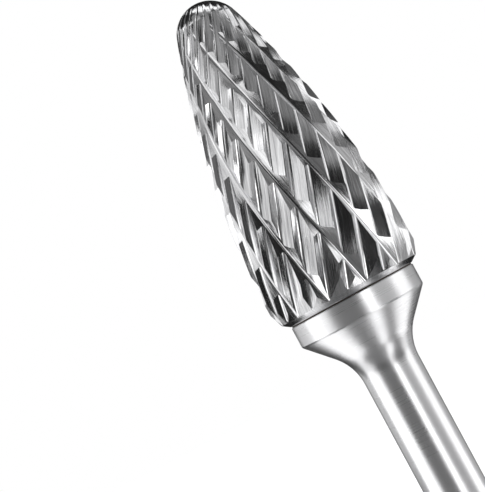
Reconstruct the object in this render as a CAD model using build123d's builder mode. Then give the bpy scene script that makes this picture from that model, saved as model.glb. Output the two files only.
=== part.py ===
from build123d import *
import os
from math import asin, ceil, cos, degrees, radians, sin, tan
import numpy as np

# A brazed rotary burr: a carbide cutting head of tree shape with a ball nose, on a steel shank
# with a flared collar. The axis is +Z, the shank's free end is at the origin and the nose is up.

os.makedirs("parts", exist_ok=True)

# ---- shank, from its free end up to the collar's face ----
shank_diameter = 6.35
shank_length = 45.0
shank_end_chamfer = 0.5
collar_diameter = 14.2
collar_length = 2.3
collar_cone_angle = 43.0  # between the cone's side and the axis
neck_radius = 5.5  # hollow curve between the cone and the straight shank

# ---- brazed joint ----
braze_thickness = 0.15
braze_inset = 0.12  # how far the brazing metal stays inside the collar's edge

# ---- head blank ----
head_diameter = 16.94
head_length = 34.3
nose_radius = 3.62
widest_height = 2.1  # height of the widest section above the head's back face
back_edge_height = 2.0  # height of the ground edge that brings the back down to the collar
back_step_height = 0.53  # height where its steeper upper part starts
back_step_share = 0.57  # how much of the reduction the lower part makes

# ---- right-hand flutes, which leave the teeth between them ----
flute_count = 24
flute_depth = 0.58  # at the widest section, and in proportion to the radius elsewhere
flute_helix_angle = 21.2
cutting_edge_share = 0.8  # where the cutting edge lies in a tooth's pitch, from the gullet
nose_edge_share = 0.9  # the same on the ball, where the front faces thin out to lines
nose_depth_share = 0.4  # how much of its depth a flute keeps on the ball
thin_start_latitude = 10.0  # where on the ball the flutes begin to thin out
thin_end_latitude = 45.0

# ---- left-hand chip-breaker grooves, which cross the teeth ----
groove_count = 12
groove_depth = 0.62
groove_helix_angle = 14.5
groove_start_angle = 1.7  # from a gullet, at the head's back face
groove_floor_width = 0.3
groove_steep_width = 0.8  # width of the steep wall, on the side that the grooves climb to
groove_gentle_width = 1.25  # width of the gentle wall, on the other side
groove_fade_start = 23.8  # height above the back face where a groove starts to run out
groove_fade_end = 31.1

# ---- sections that the lofts pass through ----
section_turn_share = 0.3  # how far the flutes turn from one section to the next, in pitches
groove_section_spacing = 3.6
tip_latitude = 84.0  # where the last section lies on the ball, which leaves a tiny flat tip
clearance = 1.0  # how far the cutting shapes reach past the metal that they remove
outline_points = 4001

# ---- values that follow from the ones above ----
head_radius = head_diameter / 2
collar_radius = collar_diameter / 2
shank_radius = shank_diameter / 2
flute_pitch = 360 / flute_count
head_start = shank_length + braze_thickness

# The head's side is one long arc that runs tangent into the ball nose. Both are walked by
# latitude, the angle between the surface's normal and a level plane.
ball_height = head_length - nose_radius
side_rise = ball_height - widest_height
side_radius = (head_radius**2 - nose_radius**2 + side_rise**2) / (2 * (head_radius - nose_radius))
join_latitude = degrees(asin(side_rise / (side_radius - nose_radius)))
low_latitude = degrees(asin(-(widest_height + clearance) / side_radius))


def outline_height(latitude):
    """Height above the back face at a latitude in degrees."""
    rise = np.sin(np.radians(latitude))
    on_side = widest_height + side_radius * rise
    on_ball = ball_height + nose_radius * rise
    return np.where(latitude < join_latitude, on_side, on_ball)


def outline_radius(latitude):
    """Outside radius of the blank at a latitude in degrees."""
    reach = np.cos(np.radians(latitude))
    on_side = head_radius - side_radius * (1 - reach)
    on_ball = nose_radius * reach
    return np.where(latitude < join_latitude, on_side, on_ball)


# A line that climbs the blank at a constant helix angle turns by the length that it climbs,
# divided by the radius. On the ball the nose's own radius is used, so that it runs over the tip.
latitudes = np.linspace(low_latitude, tip_latitude, outline_points)
heights = outline_height(latitudes)
radii = outline_radius(latitudes)
climbed = np.hypot(np.diff(heights), np.diff(radii))
middle_radii = np.maximum((radii[1:] + radii[:-1]) / 2, nose_radius)
climbs = np.concatenate(([0.0], np.cumsum(climbed / middle_radii)))
climbs = climbs - np.interp(0.0, heights, climbs)


def helix_turn(climb, helix_angle):
    """Degrees that a line of this helix angle has turned since the back face."""
    return degrees(climb * tan(radians(helix_angle)))


def share_between(value, low, high):
    """How far a value has gone from low to high, held within 0 and 1."""
    return min(1.0, max(0.0, (value - low) / (high - low)))


def on_circle(radius, angle):
    """Point at a radius and an angle in degrees."""
    return (radius * cos(radians(angle)), radius * sin(radians(angle)))


def tooth_outline(radius, latitude):
    """Corners of the fluted section: a gullet and a cutting edge for each tooth."""
    thinned = share_between(latitude, thin_start_latitude, thin_end_latitude)
    edge_share = cutting_edge_share + (nose_edge_share - cutting_edge_share) * thinned
    kept_depth = 1 - (1 - nose_depth_share) * thinned
    depth = flute_depth * kept_depth * radius / head_radius
    corners = []
    for tooth in range(flute_count):
        corners.append(on_circle(radius - depth, flute_pitch * tooth))
        corners.append(on_circle(radius, flute_pitch * (tooth + edge_share)))
    return corners


# ---- shank: one turned and ground bar with its collar ----
cone_top = shank_length - collar_length
cone_length = (collar_radius - shank_radius) / tan(radians(collar_cone_angle))
neck_reach = neck_radius * tan(radians(collar_cone_angle) / 2)
neck_start = cone_top - cone_length - neck_reach

with BuildPart() as shank:
    with BuildSketch(Plane.XZ):
        with BuildLine():
            neck = CenterArc(
                (shank_radius + neck_radius, neck_start), neck_radius, 180, -collar_cone_angle
            )
            Polyline(
                neck @ 1,
                (collar_radius, cone_top),
                (collar_radius, shank_length),
                (0, shank_length),
                (0, 0),
                (shank_radius - shank_end_chamfer, 0),
                (shank_radius, shank_end_chamfer),
                neck @ 0,
            )
        make_face()
    revolve(axis=Axis.Z)
shank.part.label = "shank"

# ---- brazed joint: a thin layer between the collar's face and the head's back face ----
with BuildPart() as braze_layer:
    with BuildSketch(Plane.XY.offset(shank_length)):
        Circle(collar_radius - braze_inset)
    extrude(amount=braze_thickness)
braze_layer.part.label = "braze_layer"

# ---- cutter for one chip-breaker groove: an uneven V with a narrow floor ----
wall_reach = groove_depth + clearance
half_floor = groove_floor_width / 2
gentle_reach = half_floor + groove_gentle_width * wall_reach / groove_depth
steep_reach = half_floor + groove_steep_width * wall_reach / groove_depth
groove_length = groove_fade_end + 1.5 * clearance
groove_sections = ceil(groove_length / groove_section_spacing)

with BuildPart() as groove_cutter:
    for index in range(groove_sections + 1):
        height = -clearance + groove_length * index / groove_sections
        fade = max(0.0, (height - groove_fade_start) / (groove_fade_end - groove_fade_start))
        floor_radius = np.interp(height, heights, radii) - groove_depth * (1 - fade)
        climb = np.interp(height, heights, climbs)
        groove_angle = groove_start_angle - helix_turn(climb, groove_helix_angle)
        with BuildSketch(Plane.XY.offset(head_start + height).rotated((0, 0, groove_angle))):
            with BuildLine():
                Polyline(
                    (floor_radius, -half_floor),
                    (floor_radius, half_floor),
                    (floor_radius + wall_reach, gentle_reach),
                    (floor_radius + wall_reach, -steep_reach),
                    close=True,
                )
            make_face()
    loft()

# ---- cutter that grinds the head's back edge down to the collar's size, in two steps ----
step_radius = collar_radius + back_step_share * (head_radius - collar_radius)
edge_top = head_start + back_edge_height

with BuildPart() as edge_cutter:
    with BuildSketch(Plane.XZ):
        with BuildLine():
            Polyline(
                (collar_radius, head_start),
                (step_radius, head_start + back_step_height),
                (head_radius, edge_top),
                (head_radius + clearance, edge_top),
                (head_radius + clearance, head_start - clearance),
                (collar_radius, head_start - clearance),
                close=True,
            )
        make_face()
    revolve(axis=Axis.Z)

# ---- cutting head: fluted sections turned along the axis, then the edge and the grooves ----
head_climb = climbs[-1]
section_climb = radians(flute_pitch * section_turn_share) / tan(radians(flute_helix_angle))
section_climbs = np.linspace(0.0, head_climb, ceil(head_climb / section_climb) + 1)

with BuildPart() as cutting_head:
    for climb in section_climbs:
        latitude = np.interp(climb, climbs, latitudes)
        level = head_start + float(outline_height(latitude))
        turn = helix_turn(climb, flute_helix_angle)
        with BuildSketch(Plane.XY.offset(level).rotated((0, 0, turn))):
            with BuildLine():
                Polyline(*tooth_outline(float(outline_radius(latitude)), latitude), close=True)
            make_face()
    loft()
    add(edge_cutter.part, mode=Mode.SUBTRACT, clean=False)
    with PolarLocations(0, groove_count):
        add(groove_cutter.part, mode=Mode.SUBTRACT, clean=False)
cutting_head.part.label = "cutting_head"

for piece in (shank, braze_layer, cutting_head):
    export_step(piece.part, f"parts/{piece.part.label}.step")
    print(piece.part.label, round(piece.part.volume, 2), "mm3", piece.part.bounding_box().size)
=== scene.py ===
# %% [markdown]
# # A double-cut carbide burr
# The tool is a carbide head, ground all over with crossing cuts, that is brazed to a turned
# steel shank. Each part is made the way the real one is: the shank is turned, the head's blank
# is ground round, and the teeth are what two sets of helical cuts leave standing. Geometry
# Nodes suit that well, because every cut follows the same rule and repeats round the axis.

# %% Open the frame
from math import asin, atan, cos, degrees, pi, radians, sin, tan

import bpy
import numpy as np
from mathutils import Matrix, Vector


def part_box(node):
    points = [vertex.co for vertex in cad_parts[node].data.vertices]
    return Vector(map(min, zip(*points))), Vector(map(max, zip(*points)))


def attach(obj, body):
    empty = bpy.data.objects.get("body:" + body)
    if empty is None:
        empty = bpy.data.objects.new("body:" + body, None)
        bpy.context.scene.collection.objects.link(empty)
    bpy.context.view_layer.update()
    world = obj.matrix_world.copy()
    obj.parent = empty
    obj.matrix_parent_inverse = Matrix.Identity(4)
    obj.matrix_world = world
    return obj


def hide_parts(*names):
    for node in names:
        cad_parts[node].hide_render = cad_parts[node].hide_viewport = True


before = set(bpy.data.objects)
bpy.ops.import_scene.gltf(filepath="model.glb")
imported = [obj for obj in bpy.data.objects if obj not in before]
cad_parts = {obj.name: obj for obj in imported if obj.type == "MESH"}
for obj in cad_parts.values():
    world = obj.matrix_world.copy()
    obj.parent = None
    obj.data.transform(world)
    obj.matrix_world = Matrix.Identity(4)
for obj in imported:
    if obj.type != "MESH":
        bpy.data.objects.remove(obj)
bpy.context.view_layer.update()
MM = 0.001
BODY = "root"

# %% [markdown]
# ## Sizes
# Every solid of the CAD model has a box, and the main sizes are read from those boxes, so the
# fine shapes made here sit exactly where the plain ones do. They could be typed in again, but
# then the two models would drift apart. What a box can't tell, such as the depth of a flute, is
# a driving dimension of the tool, written once where it is first needed.

# %% Read the sizes that the frame gives
braze_low, braze_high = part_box("braze_layer")
head_low, head_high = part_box("cutting_head")
shank_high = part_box("shank")[1]
COLLAR_FACE = shank_high.z
COLLAR_RADIUS = shank_high.x
HEAD_START = head_low.z
HEAD_LENGTH = head_high.z - head_low.z
HEAD_RADIUS = min(head_high.x, head_high.y)
print("head", round(HEAD_LENGTH / MM, 2), "mm long,", round(2 * HEAD_RADIUS / MM, 2), "mm across")

# %% [markdown]
# ## Turned shapes
# The shank, the braze layer and the head's blank are all round, so one helper turns an outline
# about the axis. A Spin operator could do it, but writing the rings directly closes both ends
# with a single point and keeps every face pointing outwards.

# %% Write a helper that turns an outline about the axis
TURNED_COLUMNS = 256


def turned(name, outline, columns=TURNED_COLUMNS):
    """A closed round solid from (radius, height) points that run from its foot to its top."""
    angles = np.linspace(0, 2 * pi, columns, endpoint=False)
    points = [(0.0, 0.0, outline[0][1])]
    for radius, height in outline:
        points += [(radius * cos(a), radius * sin(a), height) for a in angles]
    points.append((0.0, 0.0, outline[-1][1]))
    faces = []
    last_ring = 1 + columns * (len(outline) - 1)
    for column in range(columns):
        beside = (column + 1) % columns
        faces.append((0, 1 + beside, 1 + column))
        faces.append((last_ring + column, last_ring + beside, len(points) - 1))
        for ring in range(len(outline) - 1):
            here = 1 + columns * ring
            above = here + columns
            faces.append((here + column, here + beside, above + beside, above + column))
    mesh = bpy.data.meshes.new(name)
    mesh.from_pydata(points, [], faces)
    mesh.update()
    piece = bpy.data.objects.new(name, mesh)
    bpy.context.scene.collection.objects.link(piece)
    return piece


print("a turned ring has", TURNED_COLUMNS, "columns unless its piece asks for another count")


# %% Write a helper for arcs and one for sharp edges
def arc_points(centre, radius, start, end, count):
    """Points of an arc in the (radius, height) plane, both ends included."""
    steps = np.linspace(start, end, count)
    return [(centre[0] + radius * cos(a), centre[1] + radius * sin(a)) for a in steps]


def crisp(piece, angle):
    """Smooth shading that stays sharp along edges that turn by more than the angle."""
    piece.data.shade_smooth()
    piece.data.set_sharp_from_angle(angle=angle)


print("a quarter arc in 3 points:", arc_points((0, 0), 1.0, 0.0, pi / 2, 3))

# %% [markdown]
# ## The shank and its collar
# The shank is one turned bar: a straight stem that a collet grips, a hollow neck that opens
# into a cone, and a short collar as wide as the head's back. It could be a cylinder with a cone
# joined on, but one outline gives the neck its true arc. A fine chamfer breaks the collar's two
# edges, because a turned edge is never quite sharp and it catches a thin line of light.

# %% Set the shank's sizes
SHANK_RADIUS = 3.175 * MM
SHANK_END_CHAMFER = 0.5 * MM
COLLAR_LENGTH = 2.3 * MM
COLLAR_CONE_ANGLE = radians(43)
COLLAR_EDGE_CHAMFER = 0.08 * MM
NECK_RADIUS = 5.5 * MM
NECK_STEPS = 24
SHANK_CREASE = radians(12)
cone_top = COLLAR_FACE - COLLAR_LENGTH
cone_length = (COLLAR_RADIUS - SHANK_RADIUS) / tan(COLLAR_CONE_ANGLE)
neck_start = cone_top - cone_length - NECK_RADIUS * tan(COLLAR_CONE_ANGLE / 2)
print("the neck starts", round(neck_start / MM, 1), "mm up")

# %% Turn the shank
shank_outline = [(SHANK_RADIUS - SHANK_END_CHAMFER, 0.0), (SHANK_RADIUS, SHANK_END_CHAMFER)]
shank_outline += arc_points(
    (SHANK_RADIUS + NECK_RADIUS, neck_start),
    NECK_RADIUS,
    pi,
    pi - COLLAR_CONE_ANGLE,
    NECK_STEPS,
)
shank_outline += [
    (COLLAR_RADIUS - COLLAR_EDGE_CHAMFER, cone_top - COLLAR_EDGE_CHAMFER),
    (COLLAR_RADIUS, cone_top + COLLAR_EDGE_CHAMFER),
    (COLLAR_RADIUS, COLLAR_FACE - COLLAR_EDGE_CHAMFER),
    (COLLAR_RADIUS - COLLAR_EDGE_CHAMFER, COLLAR_FACE),
]
turned_shank = turned("turned_shank", shank_outline)
crisp(turned_shank, SHANK_CREASE)
print("turned_shank has", len(turned_shank.data.polygons), "faces")

# %% [markdown]
# ## The braze layer
# A thin layer of brazing metal joins the head to the collar. It stays just inside the edge, so
# from outside it reads as a fine dark line round the tool. A painted line on the collar could
# stand for it, but a real layer casts that line by itself from every side.

# %% Turn the braze layer
BRAZE_RADIUS = braze_high.x
BRAZE_CREASE = radians(30)
braze_joint = turned("braze_joint", [(BRAZE_RADIUS, braze_low.z), (BRAZE_RADIUS, braze_high.z)])
crisp(braze_joint, BRAZE_CREASE)
print("braze_joint is", round((braze_high.z - braze_low.z) / MM, 3), "mm thick")

# %% [markdown]
# ## The head's outline
# The blank's side is one long arc that runs tangent into a ball nose. It could be a spline, but
# two arcs need only a few sizes. An arc is walked by its latitude, the angle of its normal: at
# the join both arcs have the same one, so the side is walked up to it, and the ball from there
# to the tip.

# %% Lay out the two arcs
NOSE_RADIUS = 3.62 * MM
WIDEST_HEIGHT = 2.1 * MM
ball_height = HEAD_LENGTH - NOSE_RADIUS
side_rise = ball_height - WIDEST_HEIGHT
side_radius = (HEAD_RADIUS**2 - NOSE_RADIUS**2 + side_rise**2) / (2 * (HEAD_RADIUS - NOSE_RADIUS))
join_latitude = asin(side_rise / (side_radius - NOSE_RADIUS))
back_latitude = -asin(WIDEST_HEIGHT / side_radius)
print("side arc", round(side_radius / MM, 1), "mm, joined at", round(degrees(join_latitude), 1))


# %% Walk the outline by latitude
def blank_height(latitude):
    """Height above the head's back face."""
    on_side = WIDEST_HEIGHT + side_radius * np.sin(latitude)
    on_ball = ball_height + NOSE_RADIUS * np.sin(latitude)
    return np.where(latitude < join_latitude, on_side, on_ball)


def blank_radius(latitude):
    """Distance from the axis."""
    on_side = HEAD_RADIUS - side_radius * (1 - np.cos(latitude))
    on_ball = NOSE_RADIUS * np.cos(latitude)
    return np.where(latitude < join_latitude, on_side, on_ball)


print("at the join the head is", round(float(2 * blank_radius(join_latitude)) / MM, 2), "mm across")

# %% [markdown]
# ## How far a cut has turned
# A cut that keeps one helix angle turns by the length it climbs, divided by the radius there.
# That has no short formula on this outline, so the climb is added up in small steps once, and
# read back by height. On the ball the nose's own radius is used, so a cut runs over the tip.

# %% Add up the climb
FLUTE_HELIX = radians(21.2)
WALK_STEPS = 6001
WALK_END = radians(89.5)
walk = np.linspace(back_latitude, WALK_END, WALK_STEPS)
walk_heights = blank_height(walk)
walk_radii = blank_radius(walk)
walk_lengths = np.hypot(np.diff(walk_heights), np.diff(walk_radii))
walk_middles = np.maximum((walk_radii[1:] + walk_radii[:-1]) / 2, NOSE_RADIUS)
walk_climbs = np.concatenate(([0.0], np.cumsum(walk_lengths / walk_middles)))
print("a flute turns by", round(degrees(walk_climbs[-1] * tan(FLUTE_HELIX))), "deg in all")

# %% [markdown]
# ## The ground blank
# The blank is the outline turned about the axis, with the back edge ground away in two steps
# down to the collar's size. It could be left out and the fluted form used by itself, but then
# the tooth would end in a bare edge: where a flute doesn't reach, the blank's own surface stays
# as a thin land behind the cutting edge.

# %% Choose the rows
SIDE_ROWS = 64
BALL_ROWS = 34
TIP_LATITUDE = radians(89.2)
side_rows = np.linspace(back_latitude, join_latitude, SIDE_ROWS, endpoint=False)
ball_rows = np.linspace(join_latitude, TIP_LATITUDE, BALL_ROWS)
row_latitudes = np.concatenate((side_rows, ball_rows))
row_heights = blank_height(row_latitudes)
row_radii = blank_radius(row_latitudes)
print(len(row_latitudes), "rows up the head")

# %% Turn the blank
BACK_EDGE_HEIGHT = 2.0 * MM
BACK_STEP_HEIGHT = 0.53 * MM
BACK_STEP_SHARE = 0.57
BLANK_COLUMNS = 240
step_radius = COLLAR_RADIUS + BACK_STEP_SHARE * (HEAD_RADIUS - COLLAR_RADIUS)
blank_outline = [(COLLAR_RADIUS, HEAD_START), (step_radius, HEAD_START + BACK_STEP_HEIGHT)]
for radius, height in zip(row_radii, row_heights):
    if height > BACK_EDGE_HEIGHT:
        blank_outline.append((float(radius), HEAD_START + float(height)))
ground_blank = turned("ground_blank", blank_outline, columns=BLANK_COLUMNS)
print("ground_blank has", len(ground_blank.data.polygons), "faces")

# %% [markdown]
# ## The fluted form's spine
# A flute's section is the same star at every height: only its size and its turn change. So the
# fluted form is a star swept along a straight spine, and the spine carries both: each of its
# points has a reach, which scales the star, and a turn, which twists it. The reach is a touch
# more than the blank's radius, and more again on the ball, where the real lands are wide. The
# spine runs past the blank at both ends, so the cut is clean there.

# %% Work out the spine's reach and turn
SIDE_LAND = 0.004
NOSE_LAND = 0.05
LAND_START = radians(11)
LAND_END = radians(30)
OVERRUN = 0.4 * MM


def eased(value, low, high):
    """0 below low, 1 above high, and an even curve between."""
    share = np.clip((value - low) / (high - low), 0, 1)
    return share * share * (3 - 2 * share)


spine_land = SIDE_LAND + (NOSE_LAND - SIDE_LAND) * eased(row_latitudes, LAND_START, LAND_END)
spine_reach = row_radii * (1 + spine_land)
spine_turn = np.interp(row_heights, walk_heights, walk_climbs) * tan(FLUTE_HELIX)
spine_turn[0] -= OVERRUN / spine_reach[0] * tan(FLUTE_HELIX)
spine_height = HEAD_START + row_heights
spine_height[0] -= OVERRUN
spine_height[-1] += OVERRUN
print("the spine reaches out to", round(float(spine_reach.max()) / MM, 2), "mm")

# %% Lay the spine
spine_mesh = bpy.data.meshes.new("spine")
spine_mesh.from_pydata(
    [(0, 0, z) for z in spine_height], [(i, i + 1) for i in range(len(spine_height) - 1)], []
)
for label, values in (("reach", spine_reach), ("turn", spine_turn)):
    attribute = spine_mesh.attributes.new(label, "FLOAT", "POINT")
    attribute.data.foreach_set("value", values.astype(np.float32))
ground_head = bpy.data.objects.new("ground_head", spine_mesh)
bpy.context.scene.collection.objects.link(ground_head)
print("the spine has", len(spine_height), "points")

# %% [markdown]
# ## The groove wheel's path
# The chip-breaker grooves cross the flutes the other way. Each is an uneven V with a rounded
# floor: a steep wall on one side and a gentle one on the other. It could be pressed in with a
# displacement, but that would round its edges off, so the body that one pass of the grinding
# wheel removes is made row by row. It rises out of the head where the real groove runs out,
# some way before the nose.

# %% Shape the wheel's section
GROOVE_DEPTH = 0.62 * MM
GROOVE_FLOOR_RADIUS = 0.36 * MM
GROOVE_FLOOR_STEPS = 13
GROOVE_STEEP_SLOPE = 0.80 / 0.62
GROOVE_GENTLE_SLOPE = 1.25 / 0.62
WHEEL_CLEARANCE = 0.15 * MM
steep_angle = atan(1 / GROOVE_STEEP_SLOPE)
gentle_angle = atan(1 / GROOVE_GENTLE_SLOPE)


def groove_section(depth):
    """Corners of the removed body as (outwards from the surface, across), steep side first."""
    centre = GROOVE_FLOOR_RADIUS - depth
    corners = []
    for angle in np.linspace(-steep_angle, gentle_angle, GROOVE_FLOOR_STEPS):
        corners.append(
            (centre - GROOVE_FLOOR_RADIUS * cos(angle), GROOVE_FLOOR_RADIUS * sin(angle))
        )
    rise_steep = WHEEL_CLEARANCE - corners[0][0]
    rise_gentle = WHEEL_CLEARANCE - corners[-1][0]
    steep_top = (WHEEL_CLEARANCE, corners[0][1] - rise_steep * GROOVE_STEEP_SLOPE)
    gentle_top = (WHEEL_CLEARANCE, corners[-1][1] + rise_gentle * GROOVE_GENTLE_SLOPE)
    return [steep_top] + corners + [gentle_top]


GROOVE_CORNERS = len(groove_section(GROOVE_DEPTH))
print("the wheel's section has", GROOVE_CORNERS, "corners")

# %% Carry the section up the groove
GROOVE_ROWS = 110
GROOVE_HELIX = radians(14.5)
GROOVE_START = radians(1.7)
GROOVE_FADE_START = 23.8 * MM
GROOVE_FADE_END = 31.1 * MM
GROOVE_END_MARGIN = 0.3 * MM
groove_points = []
for height in np.linspace(-OVERRUN, GROOVE_FADE_END + GROOVE_END_MARGIN, GROOVE_ROWS):
    fade = max(0.0, (height - GROOVE_FADE_START) / (GROOVE_FADE_END - GROOVE_FADE_START))
    surface = float(np.interp(height, walk_heights, walk_radii))
    climb = float(np.interp(height, walk_heights, walk_climbs)) + min(0.0, height) / HEAD_RADIUS
    turn = GROOVE_START - climb * tan(GROOVE_HELIX)
    outwards = Vector((cos(turn), sin(turn), 0))
    across = Vector((-sin(turn), cos(turn), 0))
    level = Vector((0, 0, HEAD_START + height))
    for rise, side in groove_section(GROOVE_DEPTH * (1 - fade)):
        groove_points.append(outwards * (surface + rise) + across * side + level)
print("the pass has", len(groove_points), "points")

# %% Close the body that one pass removes
groove_faces = [
    tuple(range(GROOVE_CORNERS)),
    tuple(reversed(range(len(groove_points) - GROOVE_CORNERS, len(groove_points)))),
]
for row in range(GROOVE_ROWS - 1):
    for corner in range(GROOVE_CORNERS):
        beside = (corner + 1) % GROOVE_CORNERS
        low = row * GROOVE_CORNERS
        high = low + GROOVE_CORNERS
        groove_faces.append((low + beside, low + corner, high + corner, high + beside))
groove_mesh = bpy.data.meshes.new("groove_wheel_pass")
groove_mesh.from_pydata(groove_points, [], groove_faces)
groove_mesh.update()
groove_pass = bpy.data.objects.new("groove_wheel_pass", groove_mesh)
bpy.context.scene.collection.objects.link(groove_pass)
print("one pass of the wheel has", len(groove_faces), "faces")

# %% [markdown]
# ## Small helpers for node trees
# Trees for shapes and trees for materials are both built from the same few moves: add a node,
# feed its sockets with numbers or with other nodes, and take its result. A tree could be drawn
# in the editor instead, but a script can be read and run again. These helpers keep the later
# cells down to what the nodes mean.


# %% Write helpers that add and feed nodes
def feed(tree, socket, value):
    """Links a socket, or sets its number."""
    if isinstance(value, bpy.types.NodeSocket):
        tree.links.new(value, socket)
    else:
        socket.default_value = value


def add_node(tree, kind, settings=None, **values):
    """A node with its settings, and its inputs fed by name with _ for a space."""
    node = tree.nodes.new(kind)
    for key, value in (settings or {}).items():
        setattr(node, key, value)
    for key, value in values.items():
        feed(tree, node.inputs[key.replace("_", " ")], value)
    return node


def calc(tree, operation, *values):
    """The result of one Math node."""
    node = add_node(tree, "ShaderNodeMath", {"operation": operation})
    for socket, value in zip(node.inputs, values):
        feed(tree, socket, value)
    return node.outputs[0]


print("helpers ready:", feed.__name__, add_node.__name__, calc.__name__)

# %% [markdown]
# ## Materials come before the tree
# The tree's last node sets the head's material, so empty materials are made here and filled in
# further down. The grooves get their own, because their grinding marks run another way. Their
# faces could be picked out by angle later, but a Boolean keeps the material that each face had,
# so the wheel's pass simply carries it in.

# %% Name the materials
carbide = bpy.data.materials.new("ground_carbide")
groove_carbide = bpy.data.materials.new("groove_carbide")
steel = bpy.data.materials.new("satin_steel")
braze_metal = bpy.data.materials.new("braze_metal")
for material in (carbide, groove_carbide, steel, braze_metal):
    material.use_nodes = True
groove_mesh.materials.append(groove_carbide)
ground_blank.data.materials.append(carbide)
print("materials", [m.name for m in (carbide, groove_carbide, steel, braze_metal)])

# %% [markdown]
# ## The grinding tree
# The head's teeth are ground, and the tree does what the grinding machine does. They could be
# modelled one by one and copied round, but a tooth changes all the way up. So a star is swept
# up the spine to make the fluted form. What lies inside both that form and the blank is the
# fluted head. Then the wheel's pass is set round the axis, once for each groove, and taken away.

# %% Give the tree its inputs
grinding = bpy.data.node_groups.new("grinding", "GeometryNodeTree")
TREE_INPUTS = (
    ("Spine", "NodeSocketGeometry"),
    ("Blank", "NodeSocketObject"),
    ("Wheel Pass", "NodeSocketObject"),
    ("Flute Count", "NodeSocketInt"),
    ("Flute Depth", "NodeSocketFloat"),
    ("Front Face Share", "NodeSocketFloat"),
    ("Gullet Radius", "NodeSocketFloat"),
    ("Gullet Steps", "NodeSocketInt"),
    ("Groove Count", "NodeSocketInt"),
    ("Face Cuts", "NodeSocketInt"),
    ("Material", "NodeSocketMaterial"),
)
for label, kind in TREE_INPUTS:
    grinding.interface.new_socket(name=label, in_out="INPUT", socket_type=kind)
grinding.interface.new_socket(name="Head", in_out="OUTPUT", socket_type="NodeSocketGeometry")
given = grinding.nodes.new("NodeGroupInput").outputs
result = grinding.nodes.new("NodeGroupOutput").inputs["Head"]
print("the tree takes", len(TREE_INPUTS), "inputs")

# %% Draw the star, with its gullets rounded
pitch = calc(grinding, "DIVIDE", 2 * pi, given["Flute Count"])
front = calc(grinding, "MULTIPLY", pitch, given["Front Face Share"])
star = add_node(
    grinding,
    "GeometryNodeCurveStar",
    Points=given["Flute Count"],
    Outer_Radius=1.0,
    Inner_Radius=calc(grinding, "SUBTRACT", 1.0, given["Flute Depth"]),
    Twist=calc(grinding, "SUBTRACT", front, calc(grinding, "DIVIDE", pitch, 2.0)),
)
star_set = add_node(
    grinding,
    "GeometryNodeTransform",
    Geometry=star.outputs["Curve"],
    Rotation=add_node(
        grinding, "ShaderNodeCombineXYZ", Z=calc(grinding, "MULTIPLY", front, -1.0)
    ).outputs[0],
)
corner_index = add_node(grinding, "GeometryNodeInputIndex").outputs[0]
is_gullet = calc(grinding, "MODULO", corner_index, 2.0)
star_soft = add_node(
    grinding,
    "GeometryNodeFilletCurve",
    {"mode": "POLY"},
    Curve=star_set.outputs["Geometry"],
    Count=given["Gullet Steps"],
    Radius=calc(grinding, "MULTIPLY", is_gullet, given["Gullet Radius"]),
)
star_cut = add_node(
    grinding,
    "GeometryNodeSubdivideCurve",
    Curve=star_soft.outputs["Curve"],
    Cuts=given["Face Cuts"],
)
print("the star takes", len(grinding.nodes), "nodes so far")


# %% Sweep the star up the spine and cut it to the blank
def spine_value(label):
    """What each point of the spine carries under this name."""
    node = add_node(
        grinding, "GeometryNodeInputNamedAttribute", {"data_type": "FLOAT"}, Name=label
    )
    return node.outputs["Attribute"]


spine_curve = add_node(grinding, "GeometryNodeMeshToCurve", Mesh=given["Spine"])
spine_twist = add_node(
    grinding,
    "GeometryNodeSetCurveTilt",
    Curve=spine_curve.outputs["Curve"],
    Tilt=spine_value("turn"),
)
sweep = add_node(
    grinding,
    "GeometryNodeCurveToMesh",
    Curve=spine_twist.outputs["Curve"],
    Profile_Curve=star_cut.outputs["Curve"],
    Scale=spine_value("reach"),
    Fill_Caps=True,
)
blank = add_node(grinding, "GeometryNodeObjectInfo", Object=given["Blank"])
fluted = add_node(
    grinding, "GeometryNodeMeshBoolean", {"operation": "INTERSECT", "solver": "MANIFOLD"}
)
grinding.links.new(blank.outputs["Geometry"], fluted.inputs["Mesh 2"])
grinding.links.new(sweep.outputs["Mesh"], fluted.inputs["Mesh 2"])
print("the fluted head takes", len(grinding.nodes), "nodes so far")

# %% Set the wheel's pass round the axis and take it away
wheel = add_node(grinding, "GeometryNodeObjectInfo", Object=given["Wheel Pass"])
stations = add_node(
    grinding, "GeometryNodeMeshLine", Count=given["Groove Count"], Offset=(0.0, 0.0, 0.0)
)
station = add_node(grinding, "GeometryNodeInputIndex").outputs[0]
station_step = calc(grinding, "DIVIDE", 2 * pi, given["Groove Count"])
station_turn = add_node(
    grinding, "ShaderNodeCombineXYZ", Z=calc(grinding, "MULTIPLY", station, station_step)
)
passes = add_node(
    grinding,
    "GeometryNodeInstanceOnPoints",
    Points=stations.outputs["Mesh"],
    Instance=wheel.outputs["Geometry"],
    Rotation=station_turn.outputs[0],
)
grooved = add_node(
    grinding, "GeometryNodeMeshBoolean", {"operation": "DIFFERENCE", "solver": "MANIFOLD"}
)
grinding.links.new(fluted.outputs["Mesh"], grooved.inputs["Mesh 1"])
grinding.links.new(passes.outputs["Instances"], grooved.inputs["Mesh 2"])
print("the grooved head takes", len(grinding.nodes), "nodes so far")

# %% Give all but the grooves the head's material
realized = add_node(
    grinding, "GeometryNodeRealizeInstances", Geometry=grooved.outputs["Mesh"]
)
in_grooves = add_node(grinding, "GeometryNodeMaterialSelection", Material=groove_carbide)
elsewhere = add_node(grinding, "FunctionNodeBooleanMath", {"operation": "NOT"})
grinding.links.new(in_grooves.outputs[0], elsewhere.inputs[0])
finished = add_node(
    grinding,
    "GeometryNodeSetMaterial",
    Geometry=realized.outputs["Geometry"],
    Selection=elsewhere.outputs[0],
    Material=given["Material"],
)
grinding.links.new(finished.outputs["Geometry"], result)
print("the grinding tree has", len(grinding.nodes), "nodes")


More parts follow.
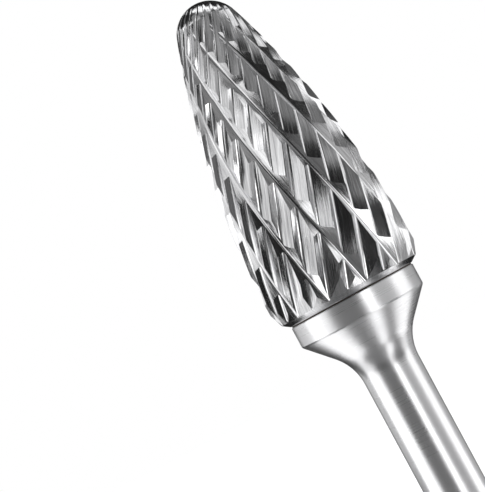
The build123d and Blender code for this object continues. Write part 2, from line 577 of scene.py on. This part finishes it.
# %% [markdown]
# ## Grinding the head
# The tree now runs once on the spine. It could stay on the object as a live modifier, but the
# map below has to be written on the finished faces, so the result is kept as a plain mesh and
# the modifier goes. The flutes outnumber the grooves two to one, and both reach about as deep.


# %% Write a helper that keeps a tree's result as a plain mesh
def bake(piece, tree, values):
    """Runs a tree on a piece with its inputs set, and keeps the result as the piece's mesh."""
    modifier = piece.modifiers.new(tree.name, "NODES")
    modifier.node_group = tree
    for item in tree.interface.items_tree:
        if item.name in values:
            modifier[item.identifier] = values[item.name]
    bpy.context.view_layer.update()
    graph = bpy.context.evaluated_depsgraph_get()
    mesh = bpy.data.meshes.new_from_object(
        piece.evaluated_get(graph), preserve_all_data_layers=True, depsgraph=graph
    )
    piece.modifiers.clear()
    piece.data = mesh
    mesh.name = piece.name


print("helper ready:", bake.__name__)

# %% Set the sizes of the cuts
FLUTE_COUNT = 24
FLUTE_DEPTH = 0.62 * MM
FRONT_FACE_SHARE = 0.24
FACE_CUTS = 1
GULLET_RADIUS = 0.40 * MM
GULLET_STEPS = 4
GROOVE_COUNT = 12
print("flutes", FLUTE_COUNT, "and grooves", GROOVE_COUNT)

# %% Grind the head
bake(
    ground_head,
    grinding,
    {
        "Blank": ground_blank,
        "Wheel Pass": groove_pass,
        "Flute Count": FLUTE_COUNT,
        "Flute Depth": FLUTE_DEPTH / HEAD_RADIUS,
        "Front Face Share": FRONT_FACE_SHARE,
        "Gullet Radius": GULLET_RADIUS / HEAD_RADIUS,
        "Gullet Steps": GULLET_STEPS,
        "Groove Count": GROOVE_COUNT,
        "Face Cuts": FACE_CUTS,
        "Material": carbide,
    },
)
for helper in (ground_blank, groove_pass):
    bpy.data.objects.remove(helper)
ground_head.data.calc_loop_triangles()
print(
    "ground_head has", len(ground_head.data.loop_triangles), "triangles, materials",
    [m.name if m else None for m in ground_head.data.materials],
)

# %% [markdown]
# ## A map that follows the grinding
# Grinding leaves fine lines that run along each cut. A pattern on plain coordinates would run
# straight through the helix, so the head gets its own map, in millimetres: one direction runs
# across the cut, the other along it. The faces that the flutes left and those that the grooves
# left are mapped to their own helix.


# %% Write helpers that read a mesh and place points along a helix
def mesh_values(items, field, width=1, kind=float):
    """One field of all of a mesh's items as an array."""
    values = np.empty(len(items) * width, kind)
    items.foreach_get(field, values)
    return values.reshape(-1, width) if width > 1 else values


def along_helix(spots, slope):
    """The angle round the axis once the helix is taken out, and the height up the head."""
    height = np.clip(spots[:, 2] - HEAD_START, 0, walk_heights[-1])
    climb = np.interp(height, walk_heights, walk_climbs)
    return np.arctan2(spots[:, 1], spots[:, 0]) - slope * climb, height


print("ground_head has", len(mesh_values(ground_head.data.polygons, "loop_total")), "faces")


# %% Map the head along its cuts
def map_along_cuts(piece, groove_slot):
    """Writes a UV map in millimetres, across and along each face's own cut."""
    mesh = piece.data
    points = mesh_values(mesh.vertices, "co", 3)
    corners = mesh_values(mesh.loops, "vertex_index", kind=int)
    sizes = mesh_values(mesh.polygons, "loop_total", kind=int)
    slots = mesh_values(mesh.polygons, "material_index", kind=int)
    owner = np.repeat(np.arange(len(sizes)), sizes)
    centres = np.zeros((len(sizes), 3))
    np.add.at(centres, owner, points[corners])
    centres /= sizes[:, None]

    slope = np.where(slots[owner] == groove_slot, -tan(GROOVE_HELIX), tan(FLUTE_HELIX))
    here, height = along_helix(points[corners], slope)
    centre, centre_height = along_helix(centres[owner], slope)
    offset = (here - centre + pi) % (2 * pi) - pi
    near = np.interp(centre_height, walk_heights, walk_radii)
    uv = np.stack(((centre * HEAD_RADIUS + offset * near) / MM, height / MM), axis=1)
    layer = mesh.uv_layers.new(name="grinding")
    layer.data.foreach_set("uv", uv.ravel().astype(np.float32))


HEAD_CREASE = radians(6.5)
GROOVE_SLOT = [m.name for m in ground_head.data.materials].index(groove_carbide.name)
map_along_cuts(ground_head, GROOVE_SLOT)
crisp(ground_head, HEAD_CREASE)
print("mapped", len(ground_head.data.loops), "corners")

# %% [markdown]
# ## Each piece joins the frame
# The fine pieces stand in for the plain CAD nodes of the same form. They could lie beside them,
# but two surfaces in one place would flicker. They all ride on the one body, because the tool is
# a single rigid piece. The head keeps the materials that the tree gave it, and the shank and the
# braze layer get theirs here.

# %% Set the pieces on the frame
for piece, node, slot in (
    (ground_head, "cutting_head", "carbide"),
    (braze_joint, "braze_layer", "braze"),
    (turned_shank, "shank", "steel"),
):
    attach(piece, BODY)
    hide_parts(node)
turned_shank.data.materials.append(steel)
braze_joint.data.materials.append(braze_metal)
print("pieces", ground_head.name, braze_joint.name, turned_shank.name)

# %% [markdown]
# ## Helpers for materials
# Every finish on the tool is metal with a fine pattern in it: a noise is stretched to the shape
# of the real marks, and drives colour, roughness and bump together. An image could carry the
# pattern, but a noise has no seams and no limit of detail.


# %% Write helpers for colours and surfaces
def surface_of(material, settings):
    """The material's surface node, with its plain numbers set."""
    surface = material.node_tree.nodes["Principled BSDF"]
    for name, value in settings.items():
        surface.inputs[name].default_value = value
    return surface


def grey(brightness, blue=0.0):
    """A grey, a touch bluer where asked."""
    return (brightness, brightness, brightness + blue)


def blend_colours(tree, share, first, second):
    """A colour between two, by a share from 0 to 1. The Mix node has sockets for every kind
    of value, and its colour ones are the inputs 6 and 7 and the output 2."""
    node = add_node(tree, "ShaderNodeMix", {"data_type": "RGBA"})
    feed(tree, node.inputs[0], share)
    feed(tree, node.inputs[6], (*first, 1.0))
    feed(tree, node.inputs[7], (*second, 1.0))
    return node.outputs[2]


print("helpers ready:", surface_of.__name__, grey.__name__, blend_colours.__name__)


# %% Write helpers for patterns
def lined_noise(tree, coordinates, scale, detail=3.0):
    """Noise stretched by a different scale in each direction."""
    stretch = add_node(tree, "ShaderNodeMapping", Vector=coordinates, Scale=scale)
    noise = add_node(
        tree, "ShaderNodeTexNoise", Vector=stretch.outputs[0], Scale=1.0, Detail=detail
    )
    return noise.outputs["Fac"]


def spread(tree, value, new_low, new_high, low=0.3, high=0.7):
    """Maps a value from one range to another, held inside it. Noise mostly fills 0.3 to 0.7."""
    node = add_node(tree, "ShaderNodeMapRange")
    for socket, number in zip(node.inputs, (value, low, high, new_low, new_high)):
        feed(tree, socket, number)
    return node.outputs[0]


def bumped(tree, height, distance, strength):
    """A normal that leans with a height."""
    node = add_node(tree, "ShaderNodeBump", Height=height, Distance=distance, Strength=strength)
    return node.outputs["Normal"]


print("helpers ready:", lined_noise.__name__, spread.__name__, bumped.__name__)

# %% [markdown]
# ## Ground carbide
# Sintered carbide is a dark, hard metal. A diamond wheel leaves it polished but finely lined
# along the cut, so each face is partly a mirror and partly streaked. Brushed metal is often
# made with anisotropy, but that spreads evenly, and here single lines show. They come from a
# noise that is stretched along the map made above.

# %% Finish the carbide
FINE_LINES = (16.0, 0.5, 1.0)
BROAD_LINES = (3.2, 0.16, 1.0)
GRAIN = (9000.0, 9000.0, 9000.0)
LINE_HEIGHT = 0.01 * MM
LINE_ROUGHNESS = (0.07, 0.17)
GRAIN_ROUGHNESS = (0.0, 0.05)
POLISHED_GREY = grey(0.88, 0.01)


def finish_carbide(material, line_strength, dark):
    """Polished carbide with fine grinding lines along the cut."""
    tree = material.node_tree
    surface = surface_of(material, {"Metallic": 1.0})
    grinding_map = add_node(tree, "ShaderNodeUVMap", {"uv_map": "grinding"}).outputs["UV"]
    fine = lined_noise(tree, grinding_map, FINE_LINES)
    broad = lined_noise(tree, grinding_map, BROAD_LINES)
    spots = add_node(tree, "ShaderNodeTexCoord").outputs["Object"]
    grain = lined_noise(tree, spots, GRAIN, detail=2.0)
    streak = spread(tree, calc(tree, "ADD", fine, broad), 0.0, 1.0, low=0.7, high=1.3)
    feed(tree, surface.inputs["Base Color"], blend_colours(tree, streak, dark, POLISHED_GREY))
    feed(tree, surface.inputs["Roughness"],
         calc(tree, "ADD", spread(tree, fine, *LINE_ROUGHNESS),
              spread(tree, grain, *GRAIN_ROUGHNESS)))
    relief = calc(tree, "ADD", fine, calc(tree, "MULTIPLY", broad, 2.0))
    feed(tree, surface.inputs["Normal"], bumped(tree, relief, LINE_HEIGHT, line_strength))


finish_carbide(carbide, line_strength=0.5, dark=grey(0.44, 0.01))
finish_carbide(groove_carbide, line_strength=0.4, dark=grey(0.54, 0.01))
print("carbide finished with", len(carbide.node_tree.nodes), "nodes")

# %% [markdown]
# ## Satin steel
# The shank is made like one that is turned and then ground, with very fine rings round it.
# Rings follow the height, so the noise is packed tightly along the axis and hardly changes
# round it. They could be modelled, but at a few thousandths of a millimetre a bump is enough.
# They are shallow: the steel still shows long, soft bands of light.

# %% Finish the steel
RINGS = (60.0, 60.0, 14000.0)
CLOUDS = (160.0, 160.0, 90.0)
RING_HEIGHT = 0.004 * MM
RING_STRENGTH = 0.13
RING_ROUGHNESS = (0.24, 0.32)
CLOUD_ROUGHNESS = (0.0, 0.05)
STEEL_DARK = grey(0.76, 0.01)
STEEL_LIGHT = grey(0.86, 0.01)
tree = steel.node_tree
surface = surface_of(steel, {"Metallic": 1.0})
spots = add_node(tree, "ShaderNodeTexCoord").outputs["Object"]
rings = lined_noise(tree, spots, RINGS)
clouds = lined_noise(tree, spots, CLOUDS)
feed(tree, surface.inputs["Base Color"], blend_colours(tree, clouds, STEEL_DARK, STEEL_LIGHT))
feed(tree, surface.inputs["Roughness"],
     calc(tree, "ADD", spread(tree, rings, *RING_ROUGHNESS),
          spread(tree, clouds, *CLOUD_ROUGHNESS)))
feed(tree, surface.inputs["Normal"], bumped(tree, rings, RING_HEIGHT, RING_STRENGTH))
print("steel finished with", len(tree.nodes), "nodes")

# %% [markdown]
# ## Braze metal
# What shows of the brazing metal is a dull, slightly rough and darkened line. A plain dark
# colour would pass from afar, but it is never polished, so it is made far rougher than its
# neighbours, with small uneven spots.

# %% Finish the braze metal
BLOTCHES = (1500.0, 1500.0, 1500.0)
BLOTCH_HEIGHT = 0.02 * MM
BLOTCH_STRENGTH = 0.5
BRAZE_ROUGHNESS = (0.45, 0.7)
BRAZE_DARK = (0.05, 0.045, 0.04)
BRAZE_LIGHT = (0.12, 0.10, 0.08)
tree = braze_metal.node_tree
surface = surface_of(braze_metal, {"Metallic": 1.0})
spots = add_node(tree, "ShaderNodeTexCoord").outputs["Object"]
blotches = lined_noise(tree, spots, BLOTCHES)
feed(tree, surface.inputs["Base Color"], blend_colours(tree, blotches, BRAZE_DARK, BRAZE_LIGHT))
feed(tree, surface.inputs["Roughness"], spread(tree, blotches, *BRAZE_ROUGHNESS))
feed(tree, surface.inputs["Normal"], bumped(tree, blotches, BLOTCH_HEIGHT, BLOTCH_STRENGTH))
print("braze metal finished with", len(tree.nodes), "nodes")

# %% [markdown]
# ## Camera
# The camera stands level with the joint between head and collar and looks at the axis, rolled
# so that the nose points up and to the left. Where it stands round the axis decides how the
# teeth line up, so that is an angle from a gullet. It could frame the head by shift alone, but a
# shift stays when other views move the camera, so part of it is a slight tilt.

# %% Work out where the camera stands
CAMERA_DISTANCE = 111 * MM
CAMERA_AROUND = radians(-72.6)
CAMERA_TILT = radians(1.55)
AXIS_LEAN = radians(28.4)
outwards = Vector((cos(CAMERA_AROUND), sin(CAMERA_AROUND), 0))
sideways = Vector((-sin(CAMERA_AROUND), cos(CAMERA_AROUND), 0))
upwards = Vector((0, 0, 1))
camera_right = sideways * cos(AXIS_LEAN) - upwards * sin(AXIS_LEAN)
camera_up = sideways * sin(AXIS_LEAN) + upwards * cos(AXIS_LEAN)
camera_place = Matrix.Translation(outwards * CAMERA_DISTANCE + upwards * HEAD_START)
camera_axes = Matrix((camera_right, camera_up, outwards)).transposed().to_4x4()
print("camera", round(CAMERA_DISTANCE / MM), "mm from the axis")

# %% Place the camera
FRAME_PIXELS = 492
SENSOR_WIDTH = 36.0
CAMERA_LENS = 78.3
JOINT_RIGHT_OF_MIDDLE = 108.9 / FRAME_PIXELS
JOINT_BELOW_MIDDLE = 19.7 / FRAME_PIXELS
camera_data = bpy.data.cameras.new("camera")
camera_data.sensor_width = SENSOR_WIDTH
camera_data.lens = CAMERA_LENS
camera_data.shift_x = -JOINT_RIGHT_OF_MIDDLE
camera_data.shift_y = JOINT_BELOW_MIDDLE
camera_data.clip_start = 5 * MM
camera = bpy.data.objects.new("camera", camera_data)
bpy.context.scene.collection.objects.link(camera)
camera.matrix_world = camera_place @ camera_axes @ Matrix.Rotation(CAMERA_TILT, 4, "X")
bpy.context.scene.camera = camera
print("camera shift", round(camera_data.shift_x, 3), round(camera_data.shift_y, 3))

# %% [markdown]
# ## Floor
# The tool stands on a round white mat on a plain white floor. One large sheet could do for
# both, but polished metal mirrors what is near it, so the mat close by is a piece of its own,
# and the floor beyond it is left out of the mirror images. The paper glows, to the camera
# alone, so the backdrop stays white without lighting the tool. The floor's glow is nearly as
# bright as white, and the mat's is weaker, so that the tool's shadow still shows on it.


# %% Write a helper for white paper
PAPER_GREY = grey(0.9)
# A painted shade: the paper's grey as the metal mirrors it, darker than its own colour.
PAINTED_MIRROR_SHADE_GREY = grey(0.4)


def white_paper(name, glow):
    """Pale paper that glows to the camera only, with a painted shade that makes it greyer in the
    metal's mirror images.
    """
    paper = bpy.data.materials.new(name)
    paper.use_nodes = True
    tree = paper.node_tree
    surface = surface_of(paper, {"Roughness": 0.9, "Emission Color": (1.0, 1.0, 1.0, 1.0)})
    paths = add_node(tree, "ShaderNodeLightPath").outputs
    # Glossy rays see the painted shade grey, and all other rays see the paper's own grey.
    feed(tree, surface.inputs["Base Color"],
         blend_colours(tree, paths["Is Glossy Ray"], PAPER_GREY, PAINTED_MIRROR_SHADE_GREY))
    feed(tree, surface.inputs["Emission Strength"],
         calc(tree, "MULTIPLY", paths["Is Camera Ray"], glow))
    return paper


floor_paper = white_paper("floor_paper", glow=0.97)
mat_paper = white_paper("mat_paper", glow=0.68)
print("papers", floor_paper.name, mat_paper.name)

# %% Lay the floor and the mat
FLOOR_HALF = 0.6
MAT_RADIUS = 0.07
MAT_THICKNESS = 0.5 * MM
floor_mesh = bpy.data.meshes.new("floor")
floor_mesh.from_pydata(
    [(x * FLOOR_HALF, y * FLOOR_HALF, -MAT_THICKNESS)
     for x, y in ((-1, -1), (1, -1), (1, 1), (-1, 1))],
    [], [(0, 1, 2, 3)],
)
floor_mesh.materials.append(floor_paper)
floor = bpy.data.objects.new("floor", floor_mesh)
bpy.context.scene.collection.objects.link(floor)
floor.visible_glossy = False
mat = turned("mat", [(MAT_RADIUS, -MAT_THICKNESS), (MAT_RADIUS, 0.0)])
mat.data.materials.append(mat_paper)
print("floor", 2 * FLOOR_HALF, "m square, mat", 2 * MAT_RADIUS, "m across")

# %% [markdown]
# ## Light
# Polished metal shows its surroundings, so what matters is what stands round it: broad soft
# boxes on the left, a narrow strip beside the camera, boxes on the right, and darkness between
# them. A few even lamps would be simpler, but then every tooth would look alike. The cone and
# the neck face down, so they mirror flat cards of light, just over the floor. The world is
# white to the camera only.

# %% Set the background
ROOM_BRIGHTNESS = 0.02
world = bpy.data.worlds.new("studio")
bpy.context.scene.world = world
world.use_nodes = True
tree = world.node_tree
background = tree.nodes["Background"]
seen = add_node(tree, "ShaderNodeLightPath").outputs["Is Camera Ray"]
feed(tree, background.inputs["Color"], (1.0, 1.0, 1.0, 1.0))
feed(tree, background.inputs["Strength"],
     spread(tree, seen, ROOM_BRIGHTNESS, 1.0, low=0.0, high=1.0))
print("room brightness", ROOM_BRIGHTNESS)

# %% Write helpers for soft boxes and cards
LAMP_DISTANCE = 0.45
LAMP_AIM = HEAD_START + 8 * MM
CARD_HEIGHT = 1 * MM


def lamp(name, wide, tall, brightness):
    """A flat lamp that the camera doesn't see. Its power follows from its area and from how
    bright it should look, where 1 is as bright as white paper."""
    light = bpy.data.lights.new(name, "AREA")
    light.shape = "RECTANGLE"
    light.size, light.size_y = wide, tall
    light.energy = brightness * pi * wide * tall
    box = bpy.data.objects.new(name, light)
    bpy.context.scene.collection.objects.link(box)
    box.rotation_mode = "QUATERNION"
    box.visible_camera = False
    return box


def softbox(name, around, above, wide, tall, brightness):
    """A soft box that faces the tool. Around is its angle from the camera, left is negative,
    above is its angle over the level, and wide and tall are the angles that it fills."""
    sides = [2 * LAMP_DISTANCE * tan(radians(angle) / 2) for angle in (wide, tall)]
    box = lamp(name, *sides, brightness)
    turn = CAMERA_AROUND + radians(around)
    level = Vector((cos(turn), sin(turn), 0)) * cos(radians(above))
    away = level + upwards * sin(radians(above))
    box.location = upwards * LAMP_AIM + away * LAMP_DISTANCE
    box.rotation_quaternion = away.to_track_quat("Z", "Y")


def floor_card(name, right, near, wide, deep, brightness):
    """A flat card of light just over the floor that shines up. Right and near are its place
    from the axis, as the camera sees it, and all lengths are in millimetres."""
    card = lamp(name, wide * MM, deep * MM, brightness)
    card.location = (sideways * right + outwards * near) * MM + upwards * CARD_HEIGHT
    card.rotation_quaternion = Matrix((sideways, outwards, -upwards)).transposed().to_quaternion()


print("lamps stand", LAMP_DISTANCE, "m away")

# %% Set the boxes on the left and above
softbox("left_box", -76, -9, 52, 22, 1.75)
softbox("left_middle_box", -95, 8, 46, 14, 1.2)
softbox("left_high_box", -100, 30, 70, 30, 0.8)
softbox("upper_left_box", -40, 33, 46, 22, 1.0)
softbox("upper_card", -20, 54, 110, 14, 0.25)
softbox("top_card", 0, 74, 90, 24, 0.26)
softbox("left_back_box", -128, -3, 40, 24, 0.6)
print("lamps so far", len(bpy.data.lights))

# %% Set the boxes in front and on the right
softbox("front_card", -24, -4, 50, 34, 0.15)
softbox("front_strip", 22, -6, 17, 28, 2.9)
softbox("right_card", 58, -2, 44, 34, 0.5)
softbox("right_high_card", 62, 36, 40, 22, 0.2)
softbox("right_far_high_card", 112, 30, 40, 30, 0.1)
softbox("right_high_strip", 96, 42, 14, 34, 1.0)
softbox("right_box", 91, 0, 34, 44, 1.4)
softbox("right_low_box", 130, -8, 40, 44, 0.4)
softbox("top_box", 130, 84, 30, 20, 1.6)
softbox("top_right_box", 80, 64, 26, 20, 0.9)
print("lamps so far", len(bpy.data.lights))

# %% Lay the cards over the floor
floor_card("left_floor_card", -31, -14, 30, 44, 1.3)
floor_card("far_left_floor_card", -82, 14, 66, 64, 1.0)
floor_card("middle_floor_card", 9, 8, 9, 18, 1.8)
floor_card("near_floor_card", 20, 52, 15, 66, 1.8)
floor_card("right_floor_card", 36, -20, 24, 38, 1.3)
floor_card("far_right_floor_card", 82, -6, 62, 40, 1.0)

# %% [markdown]
# ## Finish
# The view transform is plain, so white stays white. The fine pieces have to fit inside the CAD
# model's box.

# %% Set a plain view transform
bpy.context.scene.view_settings.view_transform = "Standard"
